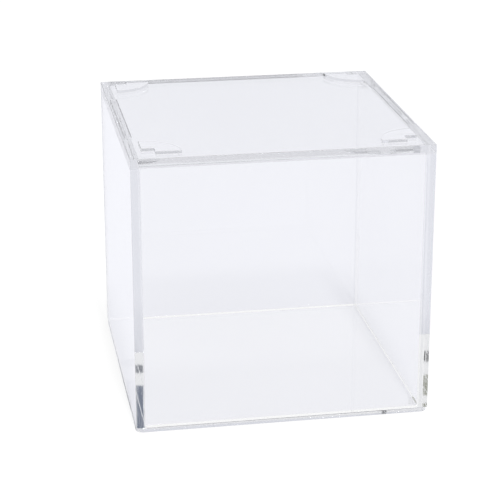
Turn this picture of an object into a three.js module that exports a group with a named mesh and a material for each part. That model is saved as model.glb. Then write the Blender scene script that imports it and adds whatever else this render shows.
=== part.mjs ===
// Acrylic display cube: a five-sided clear cover, cemented together from flat sheet, that
// stands on a thin clear base plate and lifts straight off it. The two side panels pass
// through closed slots in the top panel with one long tab each, and four quarter-round pads
// on the top keep a second cover from sliding when one is stacked on another.
// Millimetres, +Z up, front towards -Y. Origin: centre of the footprint, on the table.
import * as THREE from 'three';

// ---- driving dimensions ----
const WIDTH = 102;              // outside, left to right
const DEPTH = 102;              // outside, front to rear
const HEIGHT = 97;              // table to the upper face of the top panel
const SHEET = 3.2;              // thickness of the five cover panels
const BASE_SHEET = 1.6;         // thickness of the base plate
const BASE_CORNER_RADIUS = 2.5; // plan radius of the base plate's corners

// long tab of each side panel and its closed slot in the top panel
const TAB_LENGTH = 50;          // along the depth, centred
const TAB_THICKNESS = 2.1;      // rebated from the sheet, flush with the panel's inner face
const TAB_CLEARANCE = 0.15;     // free play all round the tab in its slot

// quarter-round stacking pads on the top panel
const PAD_INSET = 4.6;          // outside face of the cover to the pad's straight edges
const PAD_RADIUS = 13;
const PAD_RELIEF = 4.2;         // side of the square cut from the pad's own corner
const PAD_THICKNESS = 1;
const ARC_STEPS = 12;           // curve divisions per arc

// ---- worked out from the above ----
const HALF_W = WIDTH / 2;
const HALF_D = DEPTH / 2;
const WALL_TOP = HEIGHT - SHEET;
const WALL_HEIGHT = WALL_TOP - BASE_SHEET;
const TAB_INNER = HALF_W - SHEET;                // tab face towards the inside of the cover
const TAB_OUTER = TAB_INNER + TAB_THICKNESS;
const Z_AXIS = new THREE.Vector3(0, 0, 1);

// ---- helpers ----
function sheetMaterial(name) {
  return new THREE.MeshStandardMaterial({
    name, color: 0xeceef4, roughness: 0.04, metalness: 0, transparent: true, opacity: 0.35,
  });
}

function sheetMesh(name, geometry) {
  const part = new THREE.Mesh(geometry, sheetMaterial(name));
  part.name = name;
  return part;
}

/** Flat outline in XY, extruded upwards from z to z + thickness. */
function plate(outline, z, thickness) {
  const options = { depth: thickness, bevelEnabled: false, curveSegments: ARC_STEPS };
  return new THREE.ExtrudeGeometry(outline, options).translate(0, 0, z);
}

/**
 * Closed body made of the cells of a rectangular grid. xs, ys and zs are the grid planes,
 * and isSolid(i, j, k) says whether the cell from xs[i], ys[j], zs[k] is material. A face is
 * laid wherever a solid cell meets an empty one, so square tabs and slots meet edge to edge.
 */
function gridSolid(xs, ys, zs, isSolid) {
  const planes = [xs, ys, zs];
  const filled = (cell) => cell.every((n, axis) => n >= 0 && n < planes[axis].length - 1)
    && isSolid(...cell);
  const positions = [];

  function layFace(cell, axis, side) {
    const corner = (u, v) => {
      const at = [...cell];
      at[axis] += side > 0 ? 1 : 0;
      at[(axis + 1) % 3] += u;
      at[(axis + 2) % 3] += v;
      return at.map((n, k) => planes[k][n]);
    };
    const ring = [corner(0, 0), corner(1, 0), corner(1, 1), corner(0, 1)];
    if (side < 0) ring.reverse();
    positions.push(...ring[0], ...ring[1], ...ring[2], ...ring[0], ...ring[2], ...ring[3]);
  }

  function visit(cell) {
    if (!filled(cell)) return;
    for (let axis = 0; axis < 3; axis += 1) {
      for (const side of [-1, 1]) {
        const next = [...cell];
        next[axis] += side;
        if (!filled(next)) layFace(cell, axis, side);
      }
    }
  }

  for (let i = 0; i < xs.length - 1; i += 1) {
    for (let j = 0; j < ys.length - 1; j += 1) {
      for (let k = 0; k < zs.length - 1; k += 1) visit([i, j, k]);
    }
  }
  const geometry = new THREE.BufferGeometry();
  geometry.setAttribute('position', new THREE.Float32BufferAttribute(positions, 3));
  geometry.computeVertexNormals();
  return geometry;
}

// ---- cover ----

/** Top panel: lies on all four walls, with one closed slot over each side panel. */
function topPanel() {
  const halfSlot = TAB_LENGTH / 2 + TAB_CLEARANCE;
  const inner = TAB_INNER - TAB_CLEARANCE;
  const outer = TAB_OUTER + TAB_CLEARANCE;
  const xs = [-HALF_W, -outer, -inner, inner, outer, HALF_W];
  const ys = [-HALF_D, -halfSlot, halfSlot, HALF_D];
  const isSlot = (i, j) => j === 1 && (i === 1 || i === 3);
  return sheetMesh('top_panel', gridSolid(xs, ys, [WALL_TOP, HEIGHT], (i, j) => !isSlot(i, j)));
}

/** Front or rear panel, fitted between the side panels. facing is -1 front, +1 rear. */
function crossPanel(name, facing) {
  const part = sheetMesh(name, new THREE.BoxGeometry(WIDTH - 2 * SHEET, SHEET, WALL_HEIGHT));
  part.position.set(0, facing * (HALF_D - SHEET / 2), BASE_SHEET + WALL_HEIGHT / 2);
  return part;
}

/** Full-depth side panel with its tab standing up through the top panel. side is -1 or +1. */
function sidePanel(name, side) {
  const xs = [TAB_INNER, TAB_OUTER, HALF_W];
  const ys = [-HALF_D, -TAB_LENGTH / 2, TAB_LENGTH / 2, HALF_D];
  const zs = [BASE_SHEET, WALL_TOP, HEIGHT];
  const isTab = (i, j) => i === 0 && j === 1;
  const part = sheetMesh(name, gridSolid(xs, ys, zs, (i, j, k) => k === 0 || isTab(i, j)));
  if (side < 0) part.rotation.z = Math.PI;
  return part;
}

/** Quarter-round pad with its corner relieved by a square, drawn from its own corner. */
function padOutline() {
  return new THREE.Shape()
    .moveTo(PAD_RELIEF, 0)
    .lineTo(PAD_RADIUS, 0)
    .absarc(0, 0, PAD_RADIUS, 0, Math.PI / 2, false)
    .lineTo(0, PAD_RELIEF)
    .lineTo(PAD_RELIEF, PAD_RELIEF);
}

/** One pad per corner of the top; quarterTurns counts round from the front left corner. */
function cornerPad(name, quarterTurns) {
  const part = sheetMesh(name, plate(padOutline(), 0, PAD_THICKNESS));
  const turn = quarterTurns * Math.PI / 2;
  const frontLeft = new THREE.Vector3(PAD_INSET - HALF_W, PAD_INSET - HALF_D, HEIGHT);
  part.position.copy(frontLeft.applyAxisAngle(Z_AXIS, turn));
  part.rotation.z = turn;
  return part;
}

function coverGroup() {
  const cover = new THREE.Group();
  cover.add(
    topPanel(),
    crossPanel('front_panel', -1),
    crossPanel('rear_panel', 1),
    sidePanel('left_panel', -1),
    sidePanel('right_panel', 1),
  );
  const corners = ['front_left', 'front_right', 'rear_right', 'rear_left'];
  corners.forEach((corner, turns) => cover.add(cornerPad(`${corner}_pad`, turns)));
  return cover;
}

// ---- base ----

/** Thin base plate with rounded corners, as wide as the cover that stands on it. */
function basePlate() {
  const r = BASE_CORNER_RADIUS;
  const x = HALF_W - r;
  const y = HALF_D - r;
  const outline = new THREE.Shape()
    .absarc(x, y, r, 0, Math.PI / 2, false)
    .absarc(-x, y, r, Math.PI / 2, Math.PI, false)
    .absarc(-x, -y, r, Math.PI, 1.5 * Math.PI, false)
    .absarc(x, -y, r, 1.5 * Math.PI, 2 * Math.PI, false);
  return sheetMesh('base_plate', plate(outline, 0, BASE_SHEET));
}

// ---- assembly ----
const cube = new THREE.Group();
cube.add(basePlate(), coverGroup());

export default cube;
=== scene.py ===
"""Acrylic display cube: a clear cemented cover standing on a thin clear base plate.

Every piece is cut from clear cast sheet. The pieces are modelled one by one, dressed in
procedural clear-acrylic finishes, and set on a pale table under soft studio light.
"""
import logging
import math
from collections.abc import Callable, Iterator
from contextlib import contextmanager
from dataclasses import dataclass
from enum import Enum

import bmesh
import bpy
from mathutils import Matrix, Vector


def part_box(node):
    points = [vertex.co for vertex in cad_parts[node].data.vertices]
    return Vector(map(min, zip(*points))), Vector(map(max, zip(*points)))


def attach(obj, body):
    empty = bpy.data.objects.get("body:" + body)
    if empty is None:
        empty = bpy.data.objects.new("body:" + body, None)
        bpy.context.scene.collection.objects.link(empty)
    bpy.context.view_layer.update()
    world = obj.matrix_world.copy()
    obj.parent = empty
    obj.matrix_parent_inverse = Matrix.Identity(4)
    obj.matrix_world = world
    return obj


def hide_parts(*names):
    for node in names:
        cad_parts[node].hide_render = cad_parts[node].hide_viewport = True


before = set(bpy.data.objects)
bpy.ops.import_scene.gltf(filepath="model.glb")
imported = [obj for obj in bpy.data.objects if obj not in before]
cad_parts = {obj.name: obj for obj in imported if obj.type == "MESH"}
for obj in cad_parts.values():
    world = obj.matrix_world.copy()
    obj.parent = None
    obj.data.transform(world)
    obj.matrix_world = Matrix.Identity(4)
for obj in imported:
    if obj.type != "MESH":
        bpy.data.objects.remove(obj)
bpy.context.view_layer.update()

log = logging.getLogger("display_cube")

MM = 0.001
SEAM = 0.02 * MM
"""Hairline left between two sheets, so that each one keeps its own surface."""

ACRYLIC_IOR = 1.49

ACROSS_GRAIN = 2200.0
ALONG_GRAIN = 60.0
"""Fineness of the lines drawn along a scraped edge: across the sheet, and along it."""

SQUARE_ON = 0.9
"""Least part of a normal along an axis for a face to count as square to that axis."""

LAMP_FALLOFF = 4.0
"""How sharply a surface turns lamp light back as the light comes in at a lower angle."""

THIN_TINT = (0.99, 0.99, 0.99)
"""Share of each colour that the thinner base and pad sheet lets through."""

Piece = bpy.types.Object
Test = Callable[[Vector, Vector], bool]


class Axis(Enum):
    """Direction that a sheet's thickness lies along."""

    X = (1.0, 0.0, 0.0)
    Y = (0.0, 1.0, 0.0)
    Z = (0.0, 0.0, 1.0)


class Side(Enum):
    """Left or right half of the cube."""

    LEFT = -1
    RIGHT = 1


# ---------------------------------------------------------------- modelling bench


class Bench:
    """The modelling tools that the pieces share."""

    @staticmethod
    def put_down() -> None:
        """Deselects everything."""
        if bpy.context.object and bpy.context.object.mode != "OBJECT":
            bpy.ops.object.mode_set(mode="OBJECT")
        bpy.ops.object.select_all(action="DESELECT")

    @staticmethod
    def pick_up(piece: Piece) -> None:
        """Makes a piece the only selected one and the active one.

        Args:
            piece: The piece to work on.
        """
        Bench.put_down()
        piece.select_set(True)
        bpy.context.view_layer.objects.active = piece

    @staticmethod
    def settle(piece: Piece) -> None:
        """Moves a piece's place, turn and scale into its mesh."""
        Bench.pick_up(piece)
        bpy.ops.object.transform_apply(location=True, rotation=True, scale=True)

    @staticmethod
    def block(name: str, low: Vector, high: Vector) -> Piece:
        """Adds a rectangular blank between two corners.

        Args:
            name: The piece's name.
            low: Its lowest corner, in metres.
            high: Its highest corner, in metres.

        Returns:
            The blank, with its place in its mesh.
        """
        Bench.put_down()
        bpy.ops.mesh.primitive_cube_add(size=1.0, location=(low + high) / 2)
        blank = bpy.context.object
        blank.name = blank.data.name = name
        blank.scale = high - low
        Bench.settle(blank)
        return blank

    @staticmethod
    @contextmanager
    def edit(piece: Piece) -> Iterator[None]:
        """Opens a piece in edit mode, with nothing selected, and closes it again.

        Args:
            piece: The piece to edit.

        Yields:
            Nothing, while the piece is open.
        """
        Bench.pick_up(piece)
        bpy.ops.object.mode_set(mode="EDIT")
        bpy.context.tool_settings.mesh_select_mode = (False, False, True)
        bpy.ops.mesh.select_all(action="DESELECT")
        try:
            yield
        finally:
            bpy.ops.object.mode_set(mode="OBJECT")

    @staticmethod
    def pick_faces(piece: Piece, wanted: Test) -> None:
        """Selects the faces that pass a test, in edit mode.

        Args:
            piece: The piece that is open in edit mode.
            wanted: Takes a face's centre and normal, and says whether it is wanted.
        """
        bpy.context.tool_settings.mesh_select_mode = (False, False, True)
        bpy.ops.mesh.select_all(action="DESELECT")
        shape = bmesh.from_edit_mesh(piece.data)
        for face in shape.faces:
            face.select = wanted(face.calc_center_median(), face.normal)
        shape.select_flush_mode()
        bmesh.update_edit_mesh(piece.data)

    @staticmethod
    def pick_edges(piece: Piece, wanted: Test) -> None:
        """Selects the edges that pass a test, in edit mode.

        Args:
            piece: The piece that is open in edit mode.
            wanted: Takes an edge's middle and direction, and says whether it is wanted.
        """
        bpy.context.tool_settings.mesh_select_mode = (False, True, False)
        bpy.ops.mesh.select_all(action="DESELECT")
        shape = bmesh.from_edit_mesh(piece.data)
        for edge in shape.edges:
            start, end = (v.co for v in edge.verts)
            edge.select = wanted((start + end) / 2, (end - start).normalized())
        shape.select_flush_mode()
        bmesh.update_edit_mesh(piece.data)

    @staticmethod
    def score(piece: Piece, at: Vector, across: Axis, keep_above: bool = False) -> None:
        """Cuts the open piece along a plane.

        Args:
            piece: The piece that is open in edit mode; not used.
            at: A point on the plane.
            across: The plane's normal.
            keep_above: Whether the part below the plane is thrown away and the cut closed.
        """
        bpy.ops.mesh.select_all(action="SELECT")
        bpy.ops.mesh.bisect(
            plane_co=at, plane_no=across.value, use_fill=keep_above, clear_inner=keep_above
        )
        bpy.ops.mesh.select_all(action="DESELECT")

    @staticmethod
    def imprint(piece: Piece, stamp: Piece, walls: Test) -> None:
        """Draws a stamp's outline into a piece's faces, and throws the stamp away.

        Args:
            piece: The piece that takes the outline.
            stamp: A closed shape that stands through the piece's face.
            walls: Says which faces are left over from the stamp.
        """
        Bench.pick_up(piece)
        stamp.select_set(True)
        spare = stamp.data
        for face in piece.data.polygons:
            face.select = False
        for face in stamp.data.polygons:
            face.select = True
        bpy.ops.object.join()
        bpy.data.meshes.remove(spare)
        bpy.ops.object.mode_set(mode="EDIT")
        bpy.context.tool_settings.mesh_select_mode = (False, False, True)
        bpy.ops.mesh.intersect(mode="SELECT_UNSELECT", separate_mode="NONE", solver="EXACT")
        Bench.pick_faces(piece, walls)
        bpy.ops.mesh.delete(type="FACE")
        bpy.ops.object.mode_set(mode="OBJECT")

    @staticmethod
    def subtract(piece: Piece, cutter: Piece) -> None:
        """Cuts one piece's shape out of another, and throws the cutter away.

        Args:
            piece: The piece that is cut.
            cutter: The shape taken out of it.
        """
        modifier = piece.modifiers.new("cut", "BOOLEAN")
        modifier.operation = "DIFFERENCE"
        modifier.solver = "EXACT"
        modifier.object = cutter
        Bench.pick_up(piece)
        bpy.ops.object.modifier_apply(modifier=modifier.name)
        mesh = cutter.data
        bpy.data.objects.remove(cutter)
        bpy.data.meshes.remove(mesh)

    @staticmethod
    def ease_edges(piece: Piece, width: float, steps: int = 2, over: float = 40.0) -> None:
        """Takes the sharpness off a piece's edges, as scraping and polishing do.

        Args:
            piece: The piece.
            width: Width of the eased edge, in metres.
            steps: Facets across it.
            over: Least angle between faces that counts as an edge, in degrees.
        """
        Bench.pick_up(piece)
        bpy.ops.object.shade_smooth()
        modifier = piece.modifiers.new("eased", "BEVEL")
        modifier.width = width
        modifier.segments = steps
        modifier.limit_method = "ANGLE"
        modifier.angle_limit = math.radians(over)
        modifier.harden_normals = True
        modifier.material = 0
        bpy.ops.object.modifier_apply(modifier=modifier.name)

    @staticmethod
    def copy(piece: Piece, name: str, turn: float) -> Piece:
        """Copies a piece with a mesh of its own, turned about the cube's upright axis.

        Args:
            piece: The piece to copy.
            name: The copy's name.
            turn: Angle in radians, counter-clockwise from above.

        Returns:
            The copy, with its turn in its mesh.
        """
        twin = piece.copy()
        twin.data = piece.data.copy()
        twin.name = twin.data.name = name
        bpy.context.scene.collection.objects.link(twin)
        Bench.pick_up(twin)
        twin.rotation_euler.z = turn
        Bench.settle(twin)
        return twin


# ---------------------------------------------------------------- finishes


class NodeSheet:
    """Short hand for laying out shader nodes in one tree."""

    def __init__(self, tree: bpy.types.NodeTree) -> None:
        """Keeps the tree that nodes are added to."""
        self.tree = tree

    def add(self, kind: str, **settings: object) -> bpy.types.Node:
        """Adds a node.

        Args:
            kind: The node's type name, without the ShaderNode in front.
            **settings: Properties set on the node.

        Returns:
            The new node.
        """
        node = self.tree.nodes.new(kind if kind.startswith("NodeGroup") else f"ShaderNode{kind}")
        for key, value in settings.items():
            setattr(node, key, value)
        return node

    def feed(self, node: bpy.types.Node, **inputs: object) -> bpy.types.Node:
        """Sets or links a node's inputs by name, with _ standing for a space.

        Args:
            node: The node.
            **inputs: A value, or an output socket to link from, for each input.

        Returns:
            The same node.
        """
        for key, value in inputs.items():
            self.put(node.inputs[key.replace("_", " ")], value)
        return node

    def put(self, socket: bpy.types.NodeSocket, value: object) -> None:
        """Sets one input, or links it.

        Args:
            socket: The input.
            value: A value, or an output socket to link from.
        """
        if isinstance(value, bpy.types.NodeSocket):
            self.tree.links.new(value, socket)
        else:
            socket.default_value = value

    def fill(self, node: bpy.types.Node, values: tuple[object, ...]) -> bpy.types.NodeSocket:
        """Sets or links a node's inputs in order.

        Args:
            node: The node.
            values: A value, or an output socket to link from, for each input.

        Returns:
            The node's first output.
        """
        for socket, value in zip(node.inputs, values):
            self.put(socket, value)
        return node.outputs[0]

    def math(self, operation: str, first: object, second: object = 0.0) -> bpy.types.NodeSocket:
        """Adds a maths node on two values.

        Args:
            operation: What the node works out.
            first: Its first value or socket.
            second: Its second value or socket.

        Returns:
            The node's output.
        """
        return self.fill(self.add("Math", operation=operation), (first, second))

    def noise(self, vector: object, scale: float, detail: float = 2.0) -> bpy.types.NodeSocket:
        """Adds a noise texture.

        Args:
            vector: The socket with the place it is read at.
            scale: Its fineness.
            detail: Its finer layers.

        Returns:
            The noise's value.
        """
        node = self.add("TexNoise")
        self.feed(node, Vector=vector, Scale=scale, Detail=detail)
        return node.outputs["Fac"]

    def span(
        self, value: object, low: float, high: float, to_low: float = 0.0, to_high: float = 1.0
    ) -> bpy.types.NodeSocket:
        """Maps a value from one span to another, clamped and smooth at both ends.

        Args:
            value: The value or socket to map.
            low: Where the first span starts.
            high: Where it ends.
            to_low: What its start becomes.
            to_high: What its end becomes.

        Returns:
            The mapped value.
        """
        node = self.add("MapRange", interpolation_type="SMOOTHSTEP")
        return self.fill(node, (value, low, high, to_low, to_high))


def new_group(
    name: str, inputs: dict[str, str], outputs: dict[str, str]
) -> tuple[bpy.types.NodeTree, NodeSheet, bpy.types.Node, bpy.types.Node]:
    """Starts a shader node group with named sockets.

    Args:
        name: The group's name.
        inputs: Socket type by input name.
        outputs: Socket type by output name.

    Returns:
        The group, its sheet, and its input and output nodes.
    """
    group = bpy.data.node_groups.new(name, "ShaderNodeTree")
    for label, kind in inputs.items():
        group.interface.new_socket(name=label, in_out="INPUT", socket_type=f"NodeSocket{kind}")
    for label, kind in outputs.items():
        group.interface.new_socket(name=label, in_out="OUTPUT", socket_type=f"NodeSocket{kind}")
    sheet = NodeSheet(group)
    return group, sheet, sheet.add("NodeGroupInput"), sheet.add("NodeGroupOutput")


def handling_marks() -> bpy.types.NodeTree:
    """Builds the group for wiping haze, smudges and hair scratches on a polished face.

    Returns:
        A group that puts out a Roughness and a scratch Height.
    """
    group, sheet, source, result = new_group(
        "Handling marks",
        {"Vector": "Vector", "Haze": "Float", "Scratches": "Float"},
        {"Roughness": "Float", "Height": "Float"},
    )
    place = source.outputs["Vector"]
    smudge = sheet.span(sheet.noise(place, 38.0, 4.0), 0.52, 0.72)
    drawn = sheet.add("Mapping")
    sheet.feed(drawn, Vector=place, Scale=(420.0, 9.0, 420.0), Rotation=(0.3, 0.5, 0.9))
    crossed = sheet.add("Mapping")
    sheet.feed(crossed, Vector=place, Scale=(8.0, 390.0, 390.0), Rotation=(0.9, 0.2, 0.4))
    lines = [
        sheet.span(sheet.noise(mapping.outputs["Vector"], 1.0, 3.0), 0.70, 0.76)
        for mapping in (drawn, crossed)
    ]
    scratch = sheet.math("MULTIPLY", sheet.math("MAXIMUM", *lines), source.outputs["Scratches"])
    haze = sheet.math("MULTIPLY", smudge, source.outputs["Haze"])
    sheet.tree.links.new(sheet.math("ADD", haze, scratch), result.inputs["Roughness"])
    sheet.tree.links.new(sheet.math("MULTIPLY", scratch, -1.0), result.inputs["Height"])
    return group


def sawn_edge() -> bpy.types.NodeTree:
    """Builds the group for scraped and flame-polished edges of a sheet.

    Returns:
        A group that puts out a Mask, 1 on the sheet's sawn edges and 0 on its faces and on
        edges lapped smooth, and a Height of drawn lines.
    """
    group, sheet, source, result = new_group(
        "Sawn edge",
        {name: "Vector" for name in ("Vector", "Normal", "Across", "Along", "Lapped")},
        {"Mask": "Float", "Height": "Float"},
    )
    facing = sheet.add("VectorMath", operation="DOT_PRODUCT")
    sheet.tree.links.new(source.outputs["Normal"], facing.inputs[0])
    sheet.tree.links.new(source.outputs["Across"], facing.inputs[1])
    flat = sheet.math("ABSOLUTE", facing.outputs["Value"])
    sitting = sheet.add("VectorMath", operation="DOT_PRODUCT")
    sheet.tree.links.new(source.outputs["Normal"], sitting.inputs[0])
    sheet.tree.links.new(source.outputs["Lapped"], sitting.inputs[1])
    lapped = sheet.span(sheet.math("ABSOLUTE", sitting.outputs["Value"]), 0.95, 0.6)
    mask = sheet.math("MULTIPLY", sheet.span(flat, 0.95, 0.6), lapped)
    drawn = sheet.add("VectorMath", operation="MULTIPLY")
    sheet.tree.links.new(source.outputs["Vector"], drawn.inputs[0])
    sheet.tree.links.new(source.outputs["Along"], drawn.inputs[1])
    lines = sheet.noise(drawn.outputs["Vector"], 1.0, 3.0)
    sheet.tree.links.new(mask, result.inputs["Mask"])
    sheet.tree.links.new(sheet.math("MULTIPLY", lines, mask), result.inputs["Height"])
    return group


def sheet_surface() -> bpy.types.NodeTree:
    """Builds the group for the whole surface of a cast sheet.

    Returns:
        A group that puts out the sheet's Color, Roughness and Normal.
    """
    vectors = ("Vector", "Normal", "Across", "Along", "Lapped")
    numbers = ("Haze", "Scratches", "Edge Roughness")
    group, sheet, source, result = new_group(
        "Sheet surface",
        {name: "Vector" for name in vectors}
        | {name: "Color" for name in ("Tint", "Edge Tint")}
        | {name: "Float" for name in numbers},
        {"Color": "Color", "Roughness": "Float", "Normal": "Vector"},
    )
    given = source.outputs
    place = given["Vector"]
    wear = sheet.add("Group", node_tree=handling_marks())
    sheet.feed(wear, Vector=place, Haze=given["Haze"], Scratches=given["Scratches"])
    rim = sheet.add("Group", node_tree=sawn_edge())
    sheet.feed(rim, Vector=place, Normal=given["Normal"], Across=given["Across"])
    sheet.feed(rim, Along=given["Along"], Lapped=given["Lapped"])

    clouded = sheet.add("HueSaturation")
    drift = sheet.span(sheet.noise(place, 14.0), 0.3, 0.7, 1.0, 1.012)
    sheet.feed(clouded, Color=given["Tint"], Value=drift)
    # Sawn edges turn to the edge tint: partly the real greying of a cut edge, partly painted shade
    # that darkens what the sheet's ends show.
    colour = sheet.add("Mix", data_type="RGBA")
    sheet.tree.links.new(rim.outputs["Mask"], colour.inputs["Factor"])
    sheet.tree.links.new(clouded.outputs["Color"], colour.inputs[6])
    sheet.tree.links.new(given["Edge Tint"], colour.inputs[7])

    rough = sheet.math("MULTIPLY", rim.outputs["Mask"], given["Edge Roughness"])
    roughness = sheet.math("ADD", wear.outputs["Roughness"], rough)

    reliefs = (
        (sheet.noise(place, 22.0, 1.0), 0.02 * MM, 0.25),
        (rim.outputs["Height"], 0.01 * MM, 0.5),
        (wear.outputs["Height"], 0.02 * MM, 0.3),
    )
    below = None
    for height, distance, strength in reliefs:
        bump = sheet.add("Bump")
        sheet.feed(bump, Height=height, Distance=distance, Strength=strength)
        if below is not None:
            sheet.feed(bump, Normal=below)
        below = bump.outputs["Normal"]

    sheet.tree.links.new(colour.outputs[2], result.inputs["Color"])
    sheet.tree.links.new(roughness, result.inputs["Roughness"])
    sheet.tree.links.new(below, result.inputs["Normal"])
    return group


@dataclass(frozen=True)
class ClearSheet:
    """Clear cast acrylic sheet, with polished faces and scraped edges.

    Attributes:
        name: The finish's name.
        across: Direction of the sheet's thickness.
        tint: Share of each colour that one sheet lets through.
        edge_tint_and_shade: Share of each colour left by two sawn edges; part of this is the real
            greying of a cut edge and part is painted shade, darkening what is seen through the
            sheet's ends.
        lapped: Direction that the edges lapped smooth face, or none.
        haze: Roughness of the smudges on the faces.
        scratches: Roughness of the hair scratches.
        edge_roughness: Roughness of the cut edges.
        lamp_share: Share of a lamp's light that one surface lets through, met squarely.
    """

    name: str
    across: Axis
    tint: tuple[float, float, float] = (0.966, 0.966, 0.966)
    # Partly painted shade: darkens the view through the sawn ends beyond the real greying of a cut
    # edge.
    edge_tint_and_shade: tuple[float, float, float] = (0.80, 0.805, 0.82)
    lapped: tuple[float, float, float] = (0.0, 0.0, 0.0)
    haze: float = 0.012
    scratches: float = 0.05
    edge_roughness: float = 0.025
    lamp_share: float = 0.985

    def build(self, surface: bpy.types.NodeTree) -> bpy.types.Material:
        """Lays out the material.

        Args:
            surface: The sheet surface group.

        Returns:
            The material.
        """
        material = bpy.data.materials.new(self.name)
        material.use_nodes = True
        sheet = NodeSheet(material.node_tree)
        place = sheet.add("TexCoord")
        skin = sheet.add("Group", node_tree=surface)
        drawn = tuple(ACROSS_GRAIN if value else ALONG_GRAIN for value in self.across.value)
        sheet.feed(skin, Vector=place.outputs["Object"], Normal=place.outputs["Normal"])
        sheet.feed(skin, Across=self.across.value, Along=drawn, Lapped=self.lapped)
        sheet.feed(skin, Tint=(*self.tint, 1.0), Edge_Tint=(*self.edge_tint_and_shade, 1.0))
        sheet.feed(skin, Haze=self.haze, Scratches=self.scratches)
        sheet.feed(skin, Edge_Roughness=self.edge_roughness)

        body = material.node_tree.nodes["Principled BSDF"]
        sheet.feed(
            body,
            Base_Color=skin.outputs["Color"],
            Roughness=skin.outputs["Roughness"],
            Normal=skin.outputs["Normal"],
            IOR=ACRYLIC_IOR,
            Transmission_Weight=1.0,
        )
        output = material.node_tree.nodes["Material Output"]
        grazing = sheet.add("LayerWeight")
        grazing.inputs["Blend"].default_value = 0.5
        turned_back = sheet.math("POWER", grazing.outputs["Facing"], LAMP_FALLOFF)
        passed = sheet.math("SUBTRACT", self.lamp_share, turned_back)
        colour = sheet.add("CombineColor")
        sheet.feed(colour, Red=passed, Green=passed, Blue=passed)
        veil = sheet.add("BsdfTransparent")
        sheet.feed(veil, Color=colour.outputs["Color"])
        path = sheet.add("LightPath")
        blend = sheet.add("MixShader")
        sheet.tree.links.new(path.outputs["Is Shadow Ray"], blend.inputs[0])
        sheet.tree.links.new(body.outputs["BSDF"], blend.inputs[1])
        sheet.tree.links.new(veil.outputs["BSDF"], blend.inputs[2])
        sheet.tree.links.new(blend.outputs["Shader"], output.inputs["Surface"])
        return material


def cement() -> bpy.types.Material:
    """Builds the solvent cement in a seam, which joins two sheets without a visible face.

    Returns:
        The material.
    """
    material = bpy.data.materials.new("solvent cement")
    material.use_nodes = True
    sheet = NodeSheet(material.node_tree)
    sheet.feed(material.node_tree.nodes["Principled BSDF"], Alpha=0.0, Roughness=0.0, IOR=ACRYLIC_IOR)
    return material


# ---------------------------------------------------------------- pieces


@dataclass
class Fitting:
    """A finished piece, and what it stands for.

    Attributes:
        piece: The piece.
        node: The CAD node whose place it takes.
        slot: The record's material slot name; not used.
        finish: Its material.
        seam: Says which of its faces are cemented to a neighbour.
    """

    piece: Piece
    node: str
    slot: str
    finish: bpy.types.Material
    seam: Test | None = None

    def fit(self, body: str, glue: bpy.types.Material) -> None:
        """Dresses the piece and puts it in its CAD node's place.

        Args:
            body: The CAD body that it rides on.
            glue: The material of its cemented faces.
        """
        self.piece.data.materials.clear()
        self.piece.data.materials.append(self.finish)
        if self.seam is not None:
            self.piece.data.materials.append(glue)
            with Bench.edit(self.piece):
                Bench.pick_faces(self.piece, self.seam)
                self.piece.active_material_index = 1
                bpy.ops.object.material_slot_assign()
        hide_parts(self.node)
        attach(self.piece, body)
        faces = self.piece.data.polygons
        glued = sum(face.material_index for face in faces)
        log.info("%s: %d faces, %d cemented, for %s", self.piece.name, len(faces), glued, self.node)


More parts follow.
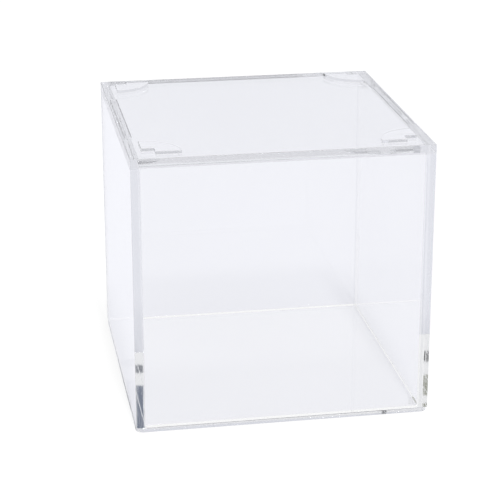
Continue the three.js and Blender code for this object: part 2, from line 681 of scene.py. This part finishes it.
@dataclass
class Cover:
    """The five-sided cover: four walls, the slotted top and its four corner pads.

    Attributes:
        body: The CAD body that the cover moves with.
        eased: Width of the scraped edges, in metres.
        clearance: Free play round each tab in its slot, in metres.
        tab_sheet: Thickness of a tab, in metres.
        tab_half: Half a tab's length, in metres.
        pad_inset: Outside face of the cover to a pad's straight edges, in metres.
        pad_relief: Side of the square taken out of a pad's corner, in metres.
    """

    body: str = "cover"
    eased: float = 0.12 * MM
    clearance: float = 0.15 * MM
    tab_sheet: float = 2.1 * MM
    tab_half: float = 25.0 * MM
    pad_inset: float = 4.6 * MM
    pad_relief: float = 4.2 * MM

    def __post_init__(self) -> None:
        """Reads the main sizes off the frame."""
        self.low, self.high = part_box("top_panel")
        self.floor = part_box("front_panel")[0].z
        self.sheet = self.high.z - self.low.z
        self.pad_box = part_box("front_left_pad")
        self.pad_radius = self.pad_box[1].x - self.pad_box[0].x

    @property
    def wall_top(self) -> float:
        """Height of the walls' top edges."""
        return self.low.z

    @property
    def tab_inner(self) -> float:
        """Distance from the middle of the cube to a tab's inner face."""
        return self.high.x - self.sheet

    @property
    def tab_outer(self) -> float:
        """Distance from the middle of the cube to a tab's outer face."""
        return self.tab_inner + self.tab_sheet

    def make_top(self) -> Piece:
        """Makes the top panel, with its two closed slots and the outlines of its four pads.

        Returns:
            The finished panel.
        """
        low = self.low + Vector((0, 0, SEAM))
        panel = Bench.block("top_sheet", low, self.high.copy())
        inner, outer = self.tab_inner - self.clearance, self.tab_outer + self.clearance
        half = self.tab_half + self.clearance
        with Bench.edit(panel):
            for x in (-outer, -inner, inner, outer):
                Bench.score(panel, Vector((x, 0, 0)), Axis.X)
            for y in (-half, half):
                Bench.score(panel, Vector((0, y, 0)), Axis.Y)
            for side in Side:
                Bench.pick_faces(
                    panel,
                    lambda at, out: abs(out.z) > 0.5
                    and inner < at.x * side.value < outer
                    and abs(at.y) < half,
                )
                bpy.ops.mesh.bridge_edge_loops()
            edge = self.high.x - self.pad_inset
            lines = (self.tab_inner, edge, edge - self.pad_relief, edge - self.pad_radius)
            for place in (sign * line for line in lines for sign in (-1, 1)):
                Bench.score(panel, Vector((place, 0, 0)), Axis.X)
                Bench.score(panel, Vector((0, place, 0)), Axis.Y)
        for turn in range(4):
            stamp = self.pad_blank(self.high.z - 0.4 * MM, self.high.z + 0.4 * MM)
            Bench.imprint(
                panel,
                Bench.copy(stamp, "stamp", turn * math.pi / 2),
                lambda at, out: self.over_pad(at) and abs(at.z - self.high.z) > 0.05 * MM
                and self.low.z + 0.5 * MM < at.z,
            )
            bpy.data.objects.remove(stamp)
        with Bench.edit(panel):
            bpy.ops.mesh.select_all(action="SELECT")
            bpy.ops.mesh.dissolve_degenerate(threshold=0.002 * MM)
            Bench.pick_faces(panel, lambda at, out: out.z > SQUARE_ON and at.z > self.high.z - SEAM)
            bpy.ops.mesh.quads_convert_to_tris()
        Bench.ease_edges(panel, self.eased)
        return panel

    def over_pad(self, at: Vector) -> bool:
        """Says whether a point is inside a pad's outline, seen from above.

        Args:
            at: The point.

        Returns:
            Whether a pad covers it.
        """
        edge = self.high.x - self.pad_inset
        across, along = edge - abs(at.x), edge - abs(at.y)
        if across < -SEAM or along < -SEAM or max(across, along) > self.pad_radius + SEAM:
            return False
        relieved = across < self.pad_relief - SEAM and along < self.pad_relief - SEAM
        return not relieved and math.hypot(across, along) < self.pad_radius + SEAM

    def top_seam(self, at: Vector, out: Vector) -> bool:
        """Says whether one of the top's faces is cemented to a wall or a pad.

        Args:
            at: The face's centre.
            out: Its normal.

        Returns:
            Whether it is cemented.
        """
        if abs(out.z) < SQUARE_ON:
            return False
        over_wall = max(abs(at.x), abs(at.y)) > self.tab_inner
        return over_wall if out.z < 0 else self.over_pad(at)

    def cross_seam(self, at: Vector, out: Vector) -> bool:
        """Says whether one of a cross panel's faces is cemented."""
        return abs(out.x) > SQUARE_ON or out.z > SQUARE_ON

    def side_seam(self, at: Vector, out: Vector) -> bool:
        """Says whether one of a side panel's faces is cemented.

        Args:
            at: The face's centre.
            out: Its normal.

        Returns:
            Whether it is cemented.
        """
        shoulder = out.z > SQUARE_ON and at.z < self.wall_top
        inner = out.x * at.x < -SQUARE_ON * abs(at.x)
        return shoulder or (inner and abs(at.y) > self.tab_inner)

    @staticmethod
    def pad_seam(at: Vector, out: Vector) -> bool:
        """Says whether one of a pad's faces is cemented."""
        return out.z < -SQUARE_ON

    def make_cross_wall(self, name: str, node: str) -> Piece:
        """Makes the front or the rear panel, between the side panels.

        Args:
            name: The piece's name.
            node: The CAD node whose place it takes.

        Returns:
            The finished panel.
        """
        low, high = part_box(node)
        gap = Vector((SEAM, 0, SEAM))
        panel = Bench.block(name, low + gap, high - gap)
        Bench.ease_edges(panel, self.eased)
        return panel

    def make_side_wall(self, name: str, side: Side) -> Piece:
        """Makes a side panel with its long tab drawn up through the top.

        Args:
            name: The piece's name.
            side: Which side it stands on.

        Returns:
            The finished panel.
        """
        near, far = sorted((self.tab_inner * side.value, self.high.x * side.value))
        low = Vector((near, self.low.y, self.floor + SEAM))
        high = Vector((far, self.high.y, self.wall_top - SEAM))
        panel = Bench.block(name, low, high)
        rise = self.high.z - high.z
        with Bench.edit(panel):
            Bench.score(panel, Vector((self.tab_outer * side.value, 0, 0)), Axis.X)
            for y in (-self.tab_half, self.tab_half):
                Bench.score(panel, Vector((0, y, 0)), Axis.Y)
            Bench.pick_faces(
                panel,
                lambda at, out: out.z > 0.5
                and abs(at.x) < self.tab_outer
                and abs(at.y) < self.tab_half,
            )
            bpy.ops.mesh.extrude_region_move(TRANSFORM_OT_translate={"value": (0, 0, rise)})
            bpy.ops.mesh.select_all(action="SELECT")
            bpy.ops.mesh.dissolve_limited(angle_limit=math.radians(1))
            for y in (-self.tab_inner, self.tab_inner):
                Bench.score(panel, Vector((0, y, 0)), Axis.Y)
        Bench.ease_edges(panel, self.eased)
        return panel

    def pad_blank(self, bottom: float, top: float) -> Piece:
        """Cuts the front left pad's outline, a quarter disc with its corner relieved.

        Args:
            bottom: Height of its underside, in metres.
            top: Height of its upper face, in metres.

        Returns:
            The blank, with sharp edges.
        """
        low, high = self.pad_box
        Bench.put_down()
        bpy.ops.mesh.primitive_cylinder_add(
            vertices=144,
            radius=self.pad_radius,
            depth=top - bottom,
            location=(low.x, low.y, (bottom + top) / 2),
        )
        pad = bpy.context.object
        pad.name = pad.data.name = "front_left_corner_pad"
        Bench.settle(pad)
        with Bench.edit(pad):
            Bench.score(pad, low, Axis.X, keep_above=True)
            Bench.score(pad, low, Axis.Y, keep_above=True)
        step = Vector((MM, MM, 2 * MM))
        far = Vector((low.x + self.pad_relief, low.y + self.pad_relief, high.z + MM))
        Bench.subtract(pad, Bench.block("relief", low - step, far))
        return pad

    def make_pad(self) -> Piece:
        """Makes the front left pad, with its edges eased.

        Returns:
            The finished pad.
        """
        pad = self.pad_blank(self.pad_box[0].z + SEAM, self.pad_box[1].z)
        Bench.ease_edges(pad, self.eased)
        return pad

    def make_pads(self) -> list[Piece]:
        """Makes all four pads: the first one, and three turned copies.

        Returns:
            The pads, counter-clockwise from the front left.
        """
        first = self.make_pad()
        names = ("front_right_corner_pad", "rear_right_corner_pad", "rear_left_corner_pad")
        turned = [Bench.copy(first, name, (n + 1) * math.pi / 2) for n, name in enumerate(names)]
        return [first, *turned]

    def build(self, finishes: "Finishes") -> list[Piece]:
        """Makes, dresses and places every piece of the cover.

        Args:
            finishes: The finishes of the whole cube.

        Returns:
            The pieces.
        """
        corners = ("front_left", "front_right", "rear_right", "rear_left")
        plan = [Fitting(self.make_top(), "top_panel", "top_sheet", finishes.lying, self.top_seam)]
        for end in ("front", "rear"):
            wall = self.make_cross_wall(f"{end}_sheet", f"{end}_panel")
            plan.append(
                Fitting(wall, f"{end}_panel", f"{end}_sheet", finishes.facing, self.cross_seam)
            )
        for side in Side:
            label = side.name.lower()
            wall = self.make_side_wall(f"{label}_sheet", side)
            plan.append(
                Fitting(wall, f"{label}_panel", "side_sheet", finishes.standing, self.side_seam)
            )
        for pad, corner in zip(self.make_pads(), corners):
            plan.append(Fitting(pad, f"{corner}_pad", "pad_sheet", finishes.pad, self.pad_seam))
        for fitting in plan:
            fitting.fit(self.body, finishes.cement)
        return [fitting.piece for fitting in plan]


@dataclass
class Base:
    """The thin base plate that the cover stands on.

    Attributes:
        body: The CAD body that the plate moves with.
        corner: Plan radius of its corners, in metres.
        eased: Width of its eased edges, in metres.
    """

    body: str = "base"
    corner: float = 2.5 * MM
    eased: float = 0.15 * MM

    def build(self, finishes: "Finishes") -> list[Piece]:
        """Makes, dresses and places the plate.

        Args:
            finishes: The finishes of the whole cube.

        Returns:
            The plate, in a list.
        """
        low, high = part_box("base_plate")
        plate = Bench.block("base_sheet", low, high - Vector((0, 0, SEAM)))
        with Bench.edit(plate):
            Bench.pick_edges(plate, lambda at, along: abs(along.z) > SQUARE_ON)
            bpy.ops.mesh.bevel(offset=self.corner, segments=12, affect="EDGES")
        Bench.ease_edges(plate, self.eased)
        Fitting(plate, "base_plate", "base_sheet", finishes.base).fit(self.body, finishes.cement)
        return [plate]


class Finishes:
    """Every finish that the cube wears, built once."""

    def __init__(self) -> None:
        """Builds the shared group and one finish for each way that a sheet faces."""
        surface = sheet_surface()
        # The top sheet's sawn edges take a darker tint than the walls': painted shade, so that its
        # end strips look darker.
        top_edge_shade, up = (0.73, 0.73, 0.73), Axis.Z.value
        self.lying = ClearSheet("clear sheet, lying", Axis.Z, edge_tint_and_shade=top_edge_shade).build(surface)
        self.facing = ClearSheet("clear sheet, facing", Axis.Y, lapped=up).build(surface)
        self.standing = ClearSheet("clear sheet, standing", Axis.X, lapped=up).build(surface)
        self.pad = ClearSheet("thin clear pad", Axis.Z, tint=THIN_TINT).build(surface)
        self.base = ClearSheet("thin clear base", Axis.Z, tint=THIN_TINT).build(surface)
        self.cement = cement()


# ---------------------------------------------------------------- studio


@dataclass(frozen=True)
class Card:
    """A dark card hung in the studio.

    Attributes:
        name: The card's name.
        azimuth: Its direction from the cube, right of straight back, in degrees.
        width: Its width as seen from the cube, in degrees.
        low: Height of its lower edge above the horizon, in degrees.
        high: Height of its upper edge above the horizon, in degrees.
        colour: Its colour.
        away: Its distance, in metres.
    """

    name: str
    azimuth: float
    width: float
    low: float
    high: float
    colour: tuple[float, float, float]
    away: float = 3.0


SLATE = (0.10, 0.13, 0.20)
OLIVE = (0.20, 0.21, 0.13)
CARDS = (
    Card("slate rail", 4.95, 0.7, 23.4, 23.7, (0.16, 0.17, 0.20)),
    Card("slate board", 4.95, 0.7, 24.2, 29.0, SLATE),
    Card("olive rail", 17.4, 1.4, 22.8, 23.2, (0.02, 0.02, 0.02)),
    Card("olive board", 17.4, 1.4, 23.7, 24.5, OLIVE),
    Card("olive lath", 17.4, 1.4, 24.8, 25.1, OLIVE),
)


@dataclass(frozen=True)
class Studio:
    """Pale table, soft light and the camera.

    Attributes:
        aim: The point that the camera looks at, in metres.
        azimuth: Angle of the view, left of the front, in degrees.
        elevation: Height of the view above the horizon, in degrees.
        distance: Distance from the camera to the aim, in metres.
        lens: Focal length, in millimetres on a 36 mm sensor.
        key_height: Height of the key light in front of the cube, in degrees.
        key_spread: Width of the key light as seen from the cube, in degrees.
        key_strength: Strength of the key light, in watts per square metre.
        table_paint: Share of the light falling on the table that it scatters back.
        table_glow: Strength of the table's own glow.
        table_shade: Colour of that glow through or in the sheets; seen directly, it is white.
        cards: The dark cards.
    """

    aim: tuple[float, float, float] = (-0.0029, 0.0, 0.0451)
    azimuth: float = -9.91
    elevation: float = 19.89
    distance: float = 0.6327
    lens: float = 125.5
    key_height: float = 62.0
    key_spread: float = 9.0
    key_strength: float = 15.0
    table_paint: float = 0.05
    table_glow: float = 0.80
    table_shade: tuple[float, float, float] = (0.8575, 0.866, 0.932)
    cards: tuple[Card, ...] = CARDS

    def camera(self) -> None:
        """Adds the camera."""
        turn, rise = math.radians(self.azimuth), math.radians(self.elevation)
        back = Vector(
            (math.sin(turn) * math.cos(rise), -math.cos(turn) * math.cos(rise), math.sin(rise))
        )
        data = bpy.data.cameras.new("camera")
        data.lens, data.sensor_width, data.clip_start = self.lens, 36.0, 0.01
        camera = bpy.data.objects.new("camera", data)
        camera.location = Vector(self.aim) + back * self.distance
        camera.rotation_euler = (-back).to_track_quat("-Z", "Y").to_euler()
        bpy.context.scene.collection.objects.link(camera)
        bpy.context.scene.camera = camera

    def table(self) -> None:
        """Adds the table top, which glows white to the camera and pale lavender to the cube.

        The clear sheets carry no colour of their own, so what they show is the table's.
        """
        Bench.put_down()
        bpy.ops.mesh.primitive_plane_add(size=8.0, location=(0, 0, -0.05 * MM))
        table = bpy.context.object
        table.name = table.data.name = "table"
        Bench.settle(table)
        material = bpy.data.materials.new("white table")
        material.use_nodes = True
        sheet = NodeSheet(material.node_tree)
        seen = sheet.add("LightPath").outputs["Is Camera Ray"]
        glow = sheet.add("Mix", data_type="RGBA")
        sheet.tree.links.new(seen, glow.inputs["Factor"])
        glow.inputs[6].default_value = (*self.table_shade, 1.0)
        glow.inputs[7].default_value = (1.0, 1.0, 1.0, 1.0)
        sheet.feed(
            material.node_tree.nodes["Principled BSDF"],
            Base_Color=(self.table_paint, self.table_paint, self.table_paint, 1.0),
            Roughness=0.9,
            Specular_IOR_Level=0.0,
            Emission_Color=glow.outputs[2],
            Emission_Strength=self.table_glow,
        )
        table.data.materials.append(material)

    def flag(self, card: Card) -> None:
        """Hangs a dark card beyond the table, for the side panels' ends to pick up.

        Args:
            card: The card, hidden from the camera's own view.
        """
        turn = math.radians(card.azimuth)
        low, high = (math.tan(math.radians(rise)) * card.away for rise in (card.low, card.high))
        place = Vector((math.sin(turn) * card.away, math.cos(turn) * card.away, (low + high) / 2))
        Bench.put_down()
        bpy.ops.mesh.primitive_plane_add(size=1.0, location=place)
        board = bpy.context.object
        board.name = board.data.name = card.name
        board.scale = (2 * card.away * math.tan(math.radians(card.width / 2)), high - low, 1.0)
        board.rotation_euler = (math.pi / 2, 0.0, -turn)
        Bench.settle(board)
        board.visible_camera = board.visible_diffuse = board.visible_shadow = False
        material = bpy.data.materials.new(card.name)
        material.use_nodes = True
        NodeSheet(material.node_tree).feed(
            material.node_tree.nodes["Principled BSDF"],
            Base_Color=(0.02, 0.02, 0.02, 1.0),
            Roughness=1.0,
            Specular_IOR_Level=0.0,
            Emission_Color=(*card.colour, 1.0),
            Emission_Strength=1.0,
        )
        board.data.materials.append(material)

    def light(self) -> None:
        """Adds the soft key light and the white surroundings."""
        world = bpy.data.worlds.new("surroundings")
        world.use_nodes = True
        bpy.context.scene.world = world
        sheet = NodeSheet(world.node_tree)
        background = world.node_tree.nodes["Background"]
        direction = sheet.add("TexCoord").outputs["Generated"]
        split = sheet.add("SeparateXYZ")
        sheet.feed(split, Vector=direction)
        height = split.outputs["Z"]
        shade = sheet.math(
            "MULTIPLY", sheet.span(height, 0.10, 0.22), sheet.span(height, 0.37, 0.31)
        )
        sky = sheet.add("Mix", data_type="RGBA")
        sheet.tree.links.new(shade, sky.inputs["Factor"])
        sky.inputs[6].default_value = (1.0, 1.0, 1.0, 1.0)
        sky.inputs[7].default_value = (0.80, 0.81, 0.85, 1.0)
        sheet.feed(background, Color=sky.outputs[2], Strength=1.0)
        data = bpy.data.lights.new("key", "SUN")
        data.energy, data.angle = self.key_strength, math.radians(self.key_spread)
        key = bpy.data.objects.new("key", data)
        key.rotation_euler = (math.pi / 2 - math.radians(self.key_height), 0.0, 0.0)
        bpy.context.scene.collection.objects.link(key)

    def light_paths(self) -> None:
        """Lets light bounce often enough to travel the length of a sheet."""
        scene = bpy.context.scene
        scene.cycles.max_bounces = 40
        scene.cycles.glossy_bounces = 40
        scene.cycles.transmission_bounces = 40
        scene.cycles.transparent_max_bounces = 24
        scene.cycles.caustics_refractive = False
        scene.cycles.caustics_reflective = False
        scene.view_settings.view_transform = "Standard"

    def build(self) -> None:
        """Sets up the whole studio."""
        self.camera()
        self.table()
        for card in self.cards:
            self.flag(card)
        self.light()
        self.light_paths()


def main() -> None:
    """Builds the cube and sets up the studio."""
    logging.basicConfig(level=logging.INFO, format="%(name)s: %(message)s")
    Studio().build()
    finishes = Finishes()
    for part in (Base(), Cover()):
        pieces = part.build(finishes)
        log.info("%s done, %d pieces", type(part).__name__.lower(), len(pieces))


if __name__ == "__main__":
    main()
